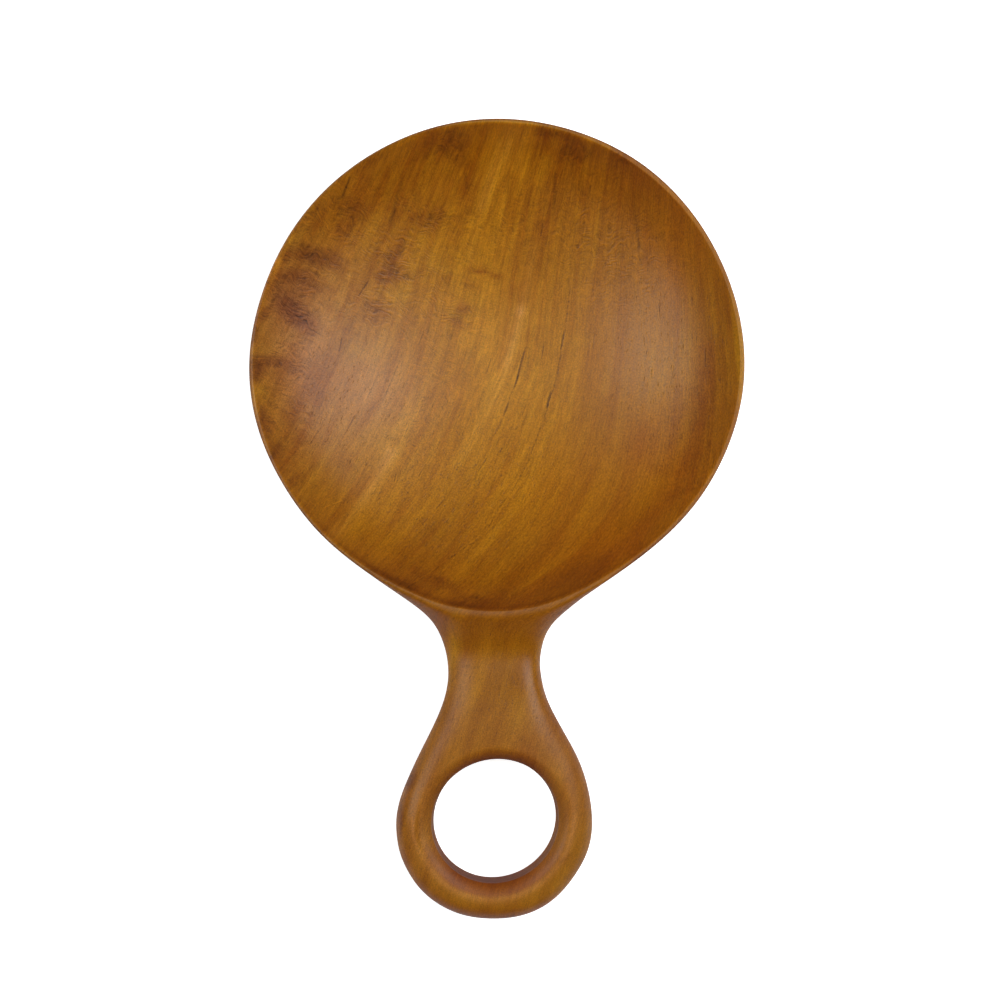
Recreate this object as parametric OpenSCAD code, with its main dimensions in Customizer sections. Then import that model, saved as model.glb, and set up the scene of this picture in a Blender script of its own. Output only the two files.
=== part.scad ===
// Wooden dairy scoop: a shallow round bowl, a waisted neck and a finger ring,
// carved as one piece of wood from end to end.
//
// Millimetres. The origin is the centre of the flat foot under the bowl, +Z is up
// out of the bowl, and the handle runs towards -Y.

/* [Bowl] */
// Diameter of the bowl across its rim
bowl_d = 150; // [146:1:154]
// Height of the rim above the surface that the foot stands on
rim_h = 32; // [31:0.5:34]
// Wood left under the deepest point of the hollow
floor_t = 4.5; // [4:0.5:6]
// Width of the thin lip round the hollow
lip_w = 1; // [0.8:0.1:1.6]
// How far the hollow is set over towards the handle
hollow_shift = 0.5; // [0:0.1:0.6]
// Diameter of the flat foot
foot_d = 72; // [68:1:76]

/* [Neck] */
// Width of the neck at its waist
neck_w = 28; // [25:0.5:31]
// Thickness of the neck at its waist
neck_t = 10.5; // [9.5:0.5:11.5]
// Distance of the waist from the centre of the bowl
neck_s = 92.5; // [90:0.5:95]
// Drop from the rim to the top of the neck
neck_drop = 6.5; // [5:0.5:8]

/* [Finger ring] */
// Outer diameter of the ring
ring_d = 61; // [59:0.5:62]
// Thickness of the ring
ring_t = 12.5; // [11.5:0.5:13]
// Diameter of the finger hole
hole_d = 39.5; // [36:0.5:40]
// Length of the straight wall of the finger hole
hole_land = 7; // [5:0.5:7]
// How far the finger hole is set over towards the bowl
hole_shift = 0.8; // [0:0.1:1]
// Distance of the ring from the centre of the bowl, measured along the handle
reach = 141.5; // [139:0.5:144]
// Angle by which the ring droops below the level of the neck
droop = 8; // [0:1:10]

/* [Fineness] */
// Columns of facets across the handle
columns = 20; // [16:2:24]
// Spacing of the rows of facets along the handle
row_step = 2.5; // [2:0.5:3]

/* [Hidden] */
$fn = 160;

bowl_r = bowl_d / 2;
ring_r = ring_d / 2;
hole_r = hole_d / 2;
foot_r = foot_d / 2;

// Outside of the bowl: one arc that leaves the foot at its edge and meets the
// rim just under the lip, so the wall thins from the foot to the rim.
edge_h = 1;
rim_z = rim_h - edge_h;
out_z = (bowl_r * bowl_r + rim_z * rim_z - foot_r * foot_r) / (2 * rim_z);
out_r = sqrt(foot_r * foot_r + out_z * out_z);

// Hollow: a wide shallow arc in the middle and a tighter arc up to the lip.
// The two arcs are tangent where they meet, at the radius turn_r.
hollow_r = bowl_r - lip_w;
turn_r = 58;
wide_r = 125;
turn_a = asin(turn_r / wide_r);
turn_z = floor_t + wide_r * (1 - cos(turn_a));
// Radius of the tighter arc that passes through the lip's inner edge
up = rim_h - turn_z;
over = hollow_r - turn_r;
tight_r = (up * up + over * over) / (2 * (up * cos(turn_a) - over * sin(turn_a)));
tight_x = turn_r - tight_r * sin(turn_a);
tight_z = turn_z + tight_r * cos(turn_a);

// Handle, first laid out straight and level: s runs along the handle away from
// the bowl's centre, x across it, and h is the height.
mid_h = rim_h - neck_drop - neck_t / 2;
root_s = 52;
end_s = reach + ring_r;
bend_from = 90;
bend_to = 114;

// Knots of the side outline: distance along the handle, half width, slope
tan_s = reach - 12.8;
tan_x = sqrt(ring_r * ring_r - 12.8 * 12.8);
SIDE = [
    [root_s, 51, -1.25],
    [neck_s - 16.5, neck_w / 2 + 7.2, -1.1],
    [neck_s, neck_w / 2, 0],
    [neck_s + 20, neck_w / 2 + 6.5, 0.52],
    [tan_s, tan_x, 12.8 / tan_x]
];

function lerp(a, b, t) = a + (b - a) * t;
function clamp(t) = min(1, max(0, t));
function smooth(a, b, v) = let(t = clamp((v - a) / (b - a))) t * t * (3 - 2 * t);

// Cubic through two knots with their slopes, and the slope along it
function cubic(p, q, s) = let(l = q[0] - p[0], t = (s - p[0]) / l)
    (1 + 2 * t) * pow(1 - t, 2) * p[1] + t * pow(1 - t, 2) * l * p[2]
    + t * t * (3 - 2 * t) * q[1] - t * t * (1 - t) * l * q[2];
function cubic_slope(p, q, s) = let(l = q[0] - p[0], t = (s - p[0]) / l)
    6 * t * (1 - t) * (q[1] - p[1]) / l
    + (1 - t) * (1 - 3 * t) * p[2] + t * (3 * t - 2) * q[2];
function span(s, i = 0) = (i >= len(SIDE) - 2 || s < SIDE[i + 1][0]) ? i : span(s, i + 1);

// Half width of the handle, and the slope of its side
function half_w(s) = s >= tan_s
    ? sqrt(max(0, ring_r * ring_r - pow(s - reach, 2)))
    : let(i = span(s)) cubic(SIDE[i], SIDE[i + 1], s);
function side_slope(s) = s >= tan_s
    ? (s >= reach ? 0 : (reach - s) / half_w(s))
    : let(i = span(s)) cubic_slope(SIDE[i], SIDE[i + 1], s);

// Distance in from the side of the handle; round the end it is measured
// from the ring's outer circle
function inset(x, s) = s > reach
    ? ring_r - sqrt(x * x + pow(s - reach, 2))
    : (half_w(s) - abs(x)) * cos(atan(side_slope(s)));

// Quarter-round edge of width e, from 0 at the side to 1 inside it
function edge(d, e) = let(t = clamp(d / e)) sqrt(max(0, t * (2 - t)));

function half_t(s) = lerp(neck_t, ring_t, smooth(neck_s + 8, neck_s + 28, s)) / 2;

// Heights: the line along the side, the top and the underside
function side_h(s) = lerp(rim_h - 1.5, mid_h, smooth(56, 90, s));
function top_h(x, s) = let(
        out = sqrt(x * x + s * s) - bowl_r,
        slab = mid_h + half_t(s),
        full = lerp(rim_h - 0.4, slab, smooth(1, 14.5, out)))
    lerp(side_h(s), full, edge(inset(x, s), 5.2));
function low_h(x, s) = let(
        q = min(1, abs(x) / max(0.001, half_w(s))),
        below = mid_h - half_t(s) - (s < 84 ? 2.5 * pow((84 - s) / 24, 2) : 0),
        keel = pow(max(0, 1 - pow(q, lerp(2, 3, smooth(60, 84, s)))), lerp(1, 0.5, smooth(58, 80, s))),
        slab = edge(inset(x, s), 5.2))
    lerp(side_h(s), below, lerp(keel, slab, smooth(86, 102, s)));

// The straight handle is bent down by the droop over a short length of the neck
bend_r = droop > 0 ? (bend_to - bend_from) / (droop * PI / 180) : 0;
function bent(x, s, h) = let(
        a = droop * clamp((s - bend_from) / (bend_to - bend_from)),
        k = droop > 0 ? [bend_r * sin(a), bend_r * (1 - cos(a))]
                      : [min(s, bend_to) - bend_from, 0],
        past = max(0, s - bend_to))
    s <= bend_from ? [x, -s, h]
    : [x,
       -(bend_from + k[0] + past * cos(a)) - (h - mid_h) * sin(a),
       mid_h - k[1] - past * sin(a) + (h - mid_h) * cos(a)];

n_neck = ceil((reach - root_s) / row_step);
n_end = 13;
ROWS = concat(
    [for (i = [0 : n_neck]) lerp(root_s, reach, i / n_neck)],
    [for (i = [1 : n_end - 1]) reach + ring_r * sin(90 * i / n_end)]);
loop_n = 2 * columns;

function section(s) = let(w = half_w(s)) concat(
    [for (j = [0 : columns]) let(x = w * sin(180 * j / columns - 90))
        bent(x, s, top_h(x, s))],
    [for (j = [1 : columns - 1]) let(x = w * sin(90 - 180 * j / columns))
        bent(x, s, low_h(x, s))]);

module handle_body() {
    rows = len(ROWS);
    tip = rows * loop_n;
    polyhedron(
        points = concat([for (s = ROWS) each section(s)], [bent(0, end_s, mid_h)]),
        faces = concat(
            [[for (j = [loop_n - 1 : -1 : 0]) j]],
            [for (i = [0 : rows - 2], j = [0 : loop_n - 1]) let(
                    a = i * loop_n + j, b = i * loop_n + (j + 1) % loop_n,
                    c = a + loop_n, d = b + loop_n)
                each (((j < columns) == (j % columns < columns / 2))
                    ? [[a, b, d], [a, d, c]] : [[a, b, c], [b, d, c]])],
            [for (j = [0 : loop_n - 1]) let(a = (rows - 1) * loop_n)
                [a + j, a + (j + 1) % loop_n, tip]]),
        convexity = 6);
}

module bowl_body() {
    rotate_extrude()
        intersection() {
            translate([0, out_z]) circle(r = out_r);
            square([bowl_r, rim_h]);
        }
}

module hollow() {
    translate([0, -hollow_shift, 0])
        rotate_extrude()
            union() {
                intersection() {
                    translate([0, floor_t + wide_r]) circle(r = wide_r);
                    square([turn_r, rim_h + 5]);
                }
                intersection() {
                    translate([tight_x, tight_z]) circle(r = tight_r);
                    translate([turn_r, 0]) square([hollow_r - turn_r, rim_h]);
                }
                translate([turn_r, rim_h - 0.01]) square([hollow_r - turn_r, 5.01]);
            }
}

// Finger hole: a straight wall in the middle, eased at both faces by an arc
// that turns through ease_a between the wall and the face.
module finger_hole() {
    ease_a = 45;
    crest_r = (hole_r + ring_r) / 2 - 0.7;
    rise = (ring_t - hole_land) / 2;
    run = crest_r - hole_r;
    chord = sqrt(rise * rise + run * run);
    lean = atan(rise / run);
    arc_r = chord / (2 * sin(ease_a / 2));
    back = arc_r * cos(ease_a / 2);
    cx = (hole_r + crest_r) / 2 + back * sin(lean);
    cz = (ring_t + hole_land) / 4 - back * cos(lean);
    translate(bent(0, reach - hole_shift, mid_h))
        rotate([droop, 0, 0])
            rotate_extrude()
                union() {
                    translate([0, -20]) square([hole_r, 40]);
                    for (side = [0, 1]) mirror([0, side])
                        difference() {
                            translate([0, hole_land / 2]) square([crest_r, 12]);
                            translate([cx, cz]) circle(r = arc_r);
                        }
                }
}

module scoop() {
    color([0.62, 0.38, 0.15])
        difference() {
            union() {
                bowl_body();
                handle_body();
            }
            hollow();
            finger_hole();
        }
}

scoop();
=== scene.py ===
import math

import bpy
import numpy as np
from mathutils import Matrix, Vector, geometry, kdtree


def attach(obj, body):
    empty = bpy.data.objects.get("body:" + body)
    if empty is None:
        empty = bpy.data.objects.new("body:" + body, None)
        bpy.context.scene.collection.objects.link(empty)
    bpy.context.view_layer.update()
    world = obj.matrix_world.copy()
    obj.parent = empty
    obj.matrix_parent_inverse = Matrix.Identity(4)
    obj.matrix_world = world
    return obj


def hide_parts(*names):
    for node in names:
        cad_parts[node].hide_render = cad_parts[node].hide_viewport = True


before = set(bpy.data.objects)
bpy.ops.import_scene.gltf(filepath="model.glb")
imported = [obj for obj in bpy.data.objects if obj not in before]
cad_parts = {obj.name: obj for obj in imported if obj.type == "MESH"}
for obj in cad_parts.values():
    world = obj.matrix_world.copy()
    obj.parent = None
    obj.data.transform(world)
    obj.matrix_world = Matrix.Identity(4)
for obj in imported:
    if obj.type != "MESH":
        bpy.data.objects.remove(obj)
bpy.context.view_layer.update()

# ---------------------------------------------------------------------------
# Sizes in millimetres, the same as the construction's. The scoop is drawn laid
# out straight and level: x across, s along the handle away from the bowl's
# centre, h upwards. The last step bends the ring down and turns s into -Y.
# ---------------------------------------------------------------------------
RIM_H, FLOOR_T, FOOT_R = 32.0, 4.5, 36.0
RING_S, HOLE_LAND, RING_T = 141.5, 7.0, 12.5
NECK_T, DROP = 10.5, 6.5
MID_H = RIM_H - DROP - NECK_T / 2
BEND_FROM, BEND_TO, DROOP = 90.0, 114.0, math.radians(8.0)
BEND_R = (BEND_TO - BEND_FROM) / DROOP
EDGE_H = 31.15


def smooth(a, b, v):
    t = np.clip((v - a) / (b - a), 0.0, 1.0)
    return t * t * (3 - 2 * t)


def lerp(a, b, t):
    return a + (b - a) * t


def quarter(t, p=2.0):
    """Quarter-round profile, 0 at t = 0 and 1 from t = 1; p above 2 makes it fuller."""
    t = np.clip(t, 0.0, 1.0)
    return (1 - (1 - t) ** p) ** (1 / p)


def edge_width(x, s):
    """How far in from the outline the top is rounded over."""
    neck = lerp(10.5, 7.8, smooth(-6.0, 6.0, x))
    ring = lerp(lerp(7.2, 9.2, smooth(-14.0, 14.0, x)), 5.9, smooth(157.0, 168.0, s))
    return lerp(0.42, lerp(neck, ring, smooth(100.0, 122.0, s)), smooth(63.0, 86.0, s))


def smin(a, b, k):
    """The lower of two heights, with a fillet about k wide where they cross."""
    h = np.clip(k - np.abs(a - b), 0.0, None)
    return np.minimum(a, b) - h * h / (4 * np.maximum(k, 1e-6))


def smax(a, b, k):
    return -smin(-a, -b, k)


class Loop:
    """A closed smooth curve (periodic cubic) through knots at the places t."""

    def __init__(self, t, values, period):
        self.t = np.asarray(t, float)
        self.y = np.asarray(values, float).reshape(len(self.t), -1)
        self.period = float(period)
        n = len(self.t)
        h = np.append(np.diff(self.t), self.t[0] + self.period - self.t[-1])
        a, b = np.zeros((n, n)), np.zeros_like(self.y)
        for i in range(n):
            p, q = (i - 1) % n, (i + 1) % n
            a[i, p] += h[p]
            a[i, i] += 2 * (h[p] + h[i])
            a[i, q] += h[i]
            b[i] = 6 * ((self.y[q] - self.y[i]) / h[i] - (self.y[i] - self.y[p]) / h[p])
        self.h, self.m = h, np.linalg.solve(a, b)

    def __call__(self, t):
        t = np.asarray(t, float)
        u = self.t[0] + np.mod(t - self.t[0], self.period)
        i = np.clip(np.searchsorted(self.t, u, side="right") - 1, 0, len(self.t) - 1)
        j = (i + 1) % len(self.t)
        h = self.h[i][..., None]
        a = (self.t[i][..., None] + h - u[..., None]) / h
        b = 1 - a
        out = (a * self.y[i] + b * self.y[j]
               + ((a ** 3 - a) * self.m[i] + (b ** 3 - b) * self.m[j]) * h * h / 6)
        return out[..., 0] if out.shape[-1] == 1 else out


# ---------------------------------------------------------------------------
# The outline as the hand left it. Angles are measured at the bowl's centre from
# the handle's line, positive to the right, in degrees.
# ---------------------------------------------------------------------------
RIM = [(-180, 75.0), (-165, 74.9), (-150, 74.7), (-135, 74.7), (-120, 74.7), (-107, 74.8),
       (-90, 75.5), (-75, 75.35), (-60, 74.65), (-45, 74.45), (-30, 74.7), (-15, 75.0), (0, 75.0),
       (15, 74.7), (30, 73.45), (42, 72.85), (55, 73.75), (70, 74.55), (85, 75.3), (100, 75.35),
       (115, 75.2), (130, 75.35), (145, 75.45), (162, 75.1)]
HOLLOW = [(-180, 73.8), (-165, 74.1), (-150, 74.1), (-135, 74.1), (-120, 74.2), (-105, 74.3),
          (-90, 74.5), (-75, 74.3), (-60, 73.9), (-45, 73.6), (-32, 73.4), (-24, 73.7), (-16, 74.4),
          (-8, 74.9), (0, 74.9), (8, 74.6), (16, 73.7), (24, 72.6), (33, 71.9), (45, 71.9),
          (60, 72.8), (75, 73.6), (90, 74.1), (105, 74.1), (120, 74.0), (135, 73.9), (150, 73.9),
          (165, 73.9)]
rim_r = Loop([k[0] for k in RIM], [k[1] for k in RIM], 360)
hollow_r = Loop([k[0] for k in HOLLOW], [k[1] for k in HOLLOW], 360)

# Knots of the flanks, neck and ring: half width and distance along the handle
RIGHT = [(41.8, 60.0), (36.7, 63.7), (31.5, 67.4), (26.4, 71.1), (21.8, 74.9), (17.9, 78.8),
         (15.65, 82.6), (14.5, 86.6), (14.0, 91.0), (14.5, 96.0), (16.0, 101.8), (18.7, 107.6),
         (22.25, 114.0), (25.6, 120.2), (28.25, 127.0), (29.85, 133.5), (30.65, 140.0),
         (30.35, 146.5), (28.8, 152.2), (26.0, 157.6), (22.0, 163.0), (16.6, 167.8), (8.9, 171.3)]
LEFT = [(44.0, 60.0), (38.9, 63.7), (33.6, 67.4), (28.1, 71.2), (23.1, 74.9), (19.3, 78.7),
        (17.05, 82.5), (15.6, 86.4), (14.6, 91.0), (14.4, 96.5), (15.3, 101.8), (17.3, 107.6),
        (20.2, 114.0), (23.25, 120.3), (26.25, 127.0), (28.75, 133.5), (30.15, 140.0),
        (30.05, 146.5), (28.9, 152.2), (26.5, 157.6), (22.7, 163.0), (16.8, 167.9), (9.0, 171.3)]
around = [a for a, _ in RIM if abs(a) > 44] + [-45]
around = sorted({a % 360 for a in around})
knots = [(rim_r(a) * math.sin(math.radians(a)), rim_r(a) * math.cos(math.radians(a))) for a in around]
knots += [(-x, s) for x, s in LEFT] + [(0.0, 172.35)] + [(x, s) for x, s in reversed(RIGHT)]
knots = np.array(knots, float)
step = np.hypot(*(np.roll(knots, -1, 0) - knots).T)
outline = Loop(np.concatenate([[0], np.cumsum(step)[:-1]]), knots, step.sum())

fine = outline(np.linspace(0, outline.period, 8001)[:-1])
lengths = np.concatenate([[0], np.cumsum(np.hypot(*np.diff(fine, axis=0).T))])
N_EDGE = 1000
EDGE = np.stack([np.interp(np.linspace(0, lengths[-1], N_EDGE, endpoint=False), lengths, fine[:, i])
                 for i in (0, 1)], 1)
tangent = np.roll(EDGE, -1, 0) - np.roll(EDGE, 1, 0)
tangent /= np.hypot(*tangent.T)[:, None]
NORMAL = np.stack([-tangent[:, 1], tangent[:, 0]], 1)
area = 0.5 * np.sum(EDGE[:, 0] * np.roll(EDGE[:, 1], -1) - np.roll(EDGE[:, 0], -1) * EDGE[:, 1])
if area < 0:
    NORMAL = -NORMAL  # points inwards


def edge_distance(p):
    """Distance of points from the outline."""
    a, b = EDGE, np.roll(EDGE, -1, 0)
    ab = b - a
    ll = np.sum(ab * ab, 1)
    out = np.empty(len(p))
    for i in range(0, len(p), 4000):
        q = p[i:i + 4000, None, :] - a[None]
        t = np.clip((q[..., 0] * ab[:, 0] + q[..., 1] * ab[:, 1]) / ll, 0, 1)
        dx, dy = q[..., 0] - t * ab[:, 0], q[..., 1] - t * ab[:, 1]
        out[i:i + 4000] = np.sqrt((dx * dx + dy * dy).min(1))
    return out


side_knots_r = np.array([(s, x) for x, s in RIGHT])
side_knots_l = np.array([(s, x) for x, s in LEFT])


def side_width(s, right):
    """Half width of the handle on one side, carried on straight into the bowl."""
    table = side_knots_r if right else side_knots_l
    w = np.interp(s, table[:, 0], table[:, 1])
    return np.where(s < 60, table[0, 1] + 1.25 * (60 - s), w)


# ---------------------------------------------------------------------------
# Heights
# ---------------------------------------------------------------------------
WIDE_R, TURN_R, LIP_R = 125.0, 58.0, 74.0
turn_a = math.asin(TURN_R / WIDE_R)
turn_z = FLOOR_T + WIDE_R * (1 - math.cos(turn_a))
up, over = RIM_H - turn_z, LIP_R - TURN_R
TIGHT_R = (up * up + over * over) / (2 * (up * math.cos(turn_a) - over * math.sin(turn_a)))
TIGHT_X, TIGHT_Z = TURN_R - TIGHT_R * math.sin(turn_a), turn_z + TIGHT_R * math.cos(turn_a)
LIP_SLOPE = (LIP_R - TIGHT_X) / (TIGHT_Z - RIM_H)
OUT_Z = (75.0 ** 2 + 31.0 ** 2 - FOOT_R ** 2) / (2 * 31.0)
OUT_R = math.hypot(FOOT_R, OUT_Z)


def hollow_z(r):
    wide = FLOOR_T + WIDE_R - np.sqrt(WIDE_R ** 2 - np.minimum(r, TURN_R) ** 2)
    c = np.clip(r, TURN_R, LIP_R)
    tight = TIGHT_Z - np.sqrt(TIGHT_R ** 2 - (c - TIGHT_X) ** 2)
    return np.where(r < TURN_R, wide, tight) + np.maximum(r - LIP_R, 0) * LIP_SLOPE


# Way down behind the lip: level on the lip, a slope of about 33 degrees, then level
_q = np.linspace(0, 20, 401)
_slope = smooth(1.0, 3.4, _q) * (1 - smooth(6.0, 17.5, _q))
_fall = np.concatenate([[0], np.cumsum((_slope[1:] + _slope[:-1]) / 2)])
_fall /= _fall[-1]


def waves(x, s, kind):
    """The slight unevenness that a knife and scraper leave, in millimetres."""
    f = [(0.11, 0.05, 0.4, 1.0), (-0.07, 0.13, 1.9, 0.9), (0.16, -0.09, 4.1, 0.55), (0.03, 0.21, 2.7, 0.5),
         (0.24, 0.06, 0.9, 0.28)]
    out = 0.0
    for a, b, c, g in f:
        out = out + g * np.sin(a * x + b * s + c + 1.7 * kind)
    return out


def half_t(s):
    return lerp(NECK_T, RING_T, smooth(100.0, 121.0, s)) / 2


def side_h(s):
    return lerp(EDGE_H, MID_H, smooth(61.0, 92.0, s))


# The finger hole's edge above and below: across, along and radius. It was cut
# by hand, so it is a little narrower below and set over by half a millimetre.
TOP_HOLE = (0.5, 140.45, 19.72)
LOW_HOLE = (0.35, 141.2, 19.0)


def hole_rho(x, s, hole):
    """Distance from the hole's middle, where the hole is a slightly slanted oval."""
    dx, ds = x - hole[0], s - hole[1]
    return np.hypot(dx, ds) / (1 + 0.022 * np.cos(2 * np.arctan2(dx, ds) + math.pi / 2))


def crest_out(s):
    """The ring's crest lies further out at the far end of the hole."""
    return 1 + 0.05 * smooth(152.0, 165.0, s)


def ring_arc(x, s, hole):
    """Height above the middle of the rounded edge of the finger hole."""
    rho = 19.75 + (hole_rho(x, s, hole) - hole[2]) / crest_out(s)
    rise, run = (RING_T - HOLE_LAND) / 2, 24.4 - 19.75
    arc = math.hypot(rise, run) / (2 * math.sin(math.radians(22.5)))
    back, lean = arc * math.cos(math.radians(22.5)), math.atan(rise / run)
    cx = (19.75 + 24.4) / 2 + back * math.sin(lean)
    cz = (RING_T + HOLE_LAND) / 4 - back * math.cos(lean)
    r = np.clip(rho, 19.75, cx)
    return cz + np.sqrt(arc * arc - (r - cx) ** 2)


def top_h(x, s, d):
    r, phi = np.hypot(x, s), np.degrees(np.arctan2(x, s))
    rc = hollow_r(phi)
    q = r - rc
    side = side_h(s)
    e = edge_width(x, s)
    # fall behind the lip
    level = MID_H + half_t(s)
    full = RIM_H - (RIM_H - level) * np.interp(q, _q, _fall)
    rho = hole_rho(x, s, TOP_HOLE)
    ringed = smin(full, MID_H + ring_arc(x, s, TOP_HOLE), 0.45)
    full = np.where((s > 105) & (rho < 34), ringed, full)
    power = lerp(2.0, lerp(lerp(1.85, 2.3, smooth(-6.0, 6.0, x)), 2.0, smooth(97, 110, s)), smooth(70, 84, s))
    out = side + (full - side) * quarter(d / e, power)
    # a shallow flat that the knife left along the ring's left side
    out = out - 0.09 * np.exp(-((d - 4.4) / 0.9) ** 2) * smooth(116, 126, s) * (1 - smooth(150, 160, s)) * smooth(0.0, 12.0, -x)
    inner = hollow_z(r * LIP_R / rc)
    z = np.where(q < 3, smin(inner, out, 0.34), out)
    uneven = 0.055 * waves(x, s, 0)
    calm = np.where(q < 0, smooth(0.0, 12.0, -q), smooth(0.0, 5.0, q) * smooth(0, 6, d) * smooth(0.0, 4.0, rho - TOP_HOLE[2]))
    return z + uneven * calm


def low_h(x, s, d):
    r, phi = np.hypot(x, s), np.degrees(np.arctan2(x, s))
    rp = np.minimum(r * 75.0 / rim_r(phi), OUT_R - 1.0)
    bowl = OUT_Z - np.sqrt(OUT_R ** 2 - rp ** 2)
    w = np.where(x >= 0, side_width(s, True), side_width(s, False))
    q = np.clip(np.abs(x) / np.maximum(w, 0.5), 0, 1)
    side = side_h(s)
    below = MID_H - half_t(s) - 2.5 * (np.maximum(84.0 - s, 0) / 24.0) ** 2
    keel = (1 - q ** lerp(2.0, 2.6, smooth(60, 84, s))) ** lerp(1.0, 0.55, smooth(58, 82, s))
    k = lerp(keel, quarter(d / 5.5), smooth(84, 101, s))
    handle = side + (below - side) * k
    rho = hole_rho(x, s, LOW_HOLE)
    ringed = smax(handle, MID_H - ring_arc(x, s, LOW_HOLE), 0.5)
    handle = np.where((s > 105) & (rho < 34), ringed, handle)
    # the handle's keel runs out under the bowl, and never stands proud of its side
    handle = handle + 0.25 * np.maximum(58.0 - s, 0) ** 1.5
    z = smin(bowl, handle, 7.0 * smooth(0.5, 11.0, d) + 1e-3)
    z = z + 0.05 * waves(x, s, 1) * smooth(38, 48, r) * smooth(0.5, 8, d) * smooth(0.0, 4.0, rho - LOW_HOLE[2])
    z = smax(z, np.zeros_like(z), 0.35)
    eb = lerp(0.35, 0.05, smooth(56.0, 66.0, s))
    return side + (z - side) * quarter(d / eb)


def bend(x, s, h):
    a = DROOP * np.clip((s - BEND_FROM) / (BEND_TO - BEND_FROM), 0, 1)
    past = np.maximum(0, s - BEND_TO)
    y = -(np.minimum(s, BEND_FROM) + BEND_R * np.sin(a) + past * np.cos(a)) - (h - MID_H) * np.sin(a)
    z = MID_H - BEND_R * (1 - np.cos(a)) - past * np.sin(a) + (h - MID_H) * np.cos(a)
    flat = s <= BEND_FROM
    return np.stack([x, np.where(flat, -s, y), np.where(flat, h, z)], -1)


# ---------------------------------------------------------------------------
# Points of the top and the underside, in the plane of x and s
# ---------------------------------------------------------------------------
class Cloud:
    """Points in order of importance: a later point too near an earlier one is left out."""

    def __init__(self):
        self.points, self.lines = [], []

    def loop(self, pts, closed=True, keep=True, gap=0.0, line=False):
        pts = np.asarray(pts, float)
        if gap > 0 and self.points:
            tree = self.tree()
            ok = np.array([tree.find((p[0], p[1], 0.0))[2] > gap for p in pts])
            pts = pts[ok]
            line = False
        start = sum(len(p) for p in self.points)
        self.points.append(pts)
        if line:
            n = len(pts)
            self.lines += [(start + i, start + (i + 1) % n) for i in range(n)]
        return start, len(pts)

    def tree(self):
        p = np.vstack(self.points)
        tree = kdtree.KDTree(len(p))
        for i, (a, b) in enumerate(p):
            tree.insert((a, b, 0.0), i)
        tree.balance()
        return tree

    def fill(self, spacing, keep):
        """A triangular grid where keep says so, clear of what is there."""
        xs = np.arange(-78, 78, spacing)
        ys = np.arange(-78, 174, spacing * math.sqrt(3) / 2)
        grid = np.array([(x + (spacing / 2 if j % 2 else 0), y) for j, y in enumerate(ys) for x in xs])
        grid = grid[keep(grid)]
        self.loop(grid, gap=0.62 * spacing)

    def all(self):
        return np.vstack(self.points)


def inside(p, poly):
    a, b = poly, np.roll(poly, -1, 0)
    out = np.zeros(len(p), bool)
    for i in range(0, len(p), 4000):
        x, y = p[i:i + 4000, 0, None], p[i:i + 4000, 1, None]
        cross = (a[:, 1] > y) != (b[:, 1] > y)
        t = (y - a[:, 1]) / np.where(b[:, 1] == a[:, 1], 1e-12, b[:, 1] - a[:, 1])
        out[i:i + 4000] = (cross & (x < a[:, 0] + t * (b[:, 0] - a[:, 0]))).sum(1) % 2 == 1
    return out


def circle(centre, r, n, from_angle=0.0):
    a = np.linspace(0, 2 * math.pi, n, endpoint=False) + from_angle
    return np.stack([centre[0] + r * np.sin(a), centre[1] + r * np.cos(a)], 1)


def triangulate(cloud, hole_poly, fixed):
    """Triangles over the cloud, without those outside the outline or in the hole. fixed is how many points lie on those two."""
    p = cloud.all()
    verts, _, faces, origin, _, _ = geometry.delaunay_2d_cdt(
        [Vector((a, b)) for a, b in p], cloud.lines, [], 0, 1e-7)
    assert len(verts) == len(p), (len(verts), len(p))
    back = [o[0] for o in origin]
    tri = np.array([[back[i] for i in f] for f in faces])
    only = np.all(tri < fixed, 1)
    c = p[tri].mean(1)
    bad = np.zeros(len(tri), bool)
    k = np.nonzero(only)[0]
    bad[k] = ~inside(c[k], EDGE) | inside(c[k], hole_poly)
    tri = tri[~bad]
    a, b, c = p[tri[:, 0]], p[tri[:, 1]], p[tri[:, 2]]
    turn = (b[:, 0] - a[:, 0]) * (c[:, 1] - a[:, 1]) - (b[:, 1] - a[:, 1]) * (c[:, 0] - a[:, 0])
    tri[turn > 0] = tri[turn > 0][:, ::-1]
    return p, tri


N_HOLE = 180
edge_s = EDGE[:, 1]
e_top = edge_width(EDGE[:, 0], edge_s)
hole_a = np.linspace(0, 2 * math.pi, N_HOLE, endpoint=False)


def hole_loop(hole, grow=0.0):
    r = (hole[2] + grow) * (1 + 0.022 * np.cos(2 * hole_a + math.pi / 2))
    return np.stack([hole[0] + r * np.sin(hole_a), hole[1] + r * np.cos(hole_a)], 1)


def edge_loops(cloud, widths, shares, least):
    for k in shares:
        off = widths * k
        pts = EDGE + NORMAL * off[:, None]
        ok = off >= least
        cloud.loop(pts[ok], gap=0.0)


# Top
top = Cloud()
top.loop(EDGE, line=True)
hole_top = hole_loop(TOP_HOLE)
top.loop(hole_top, line=True)
fixed = N_EDGE + N_HOLE
turns = [1 - math.cos(math.radians(a)) for a in (14, 26, 38, 50, 62, 76, 90)]
for k, share in enumerate(turns):
    off = e_top * share
    least = 0.04 if k in (2, 4, 6) else 0.09
    top.loop((EDGE + NORMAL * off[:, None])[off > least])
M = 640
angles = np.linspace(-180, 180, M, endpoint=False)


def polar(q):
    r = hollow_r(angles) + q
    return np.stack([r * np.sin(np.radians(angles)), r * np.cos(np.radians(angles))], 1)


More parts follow.
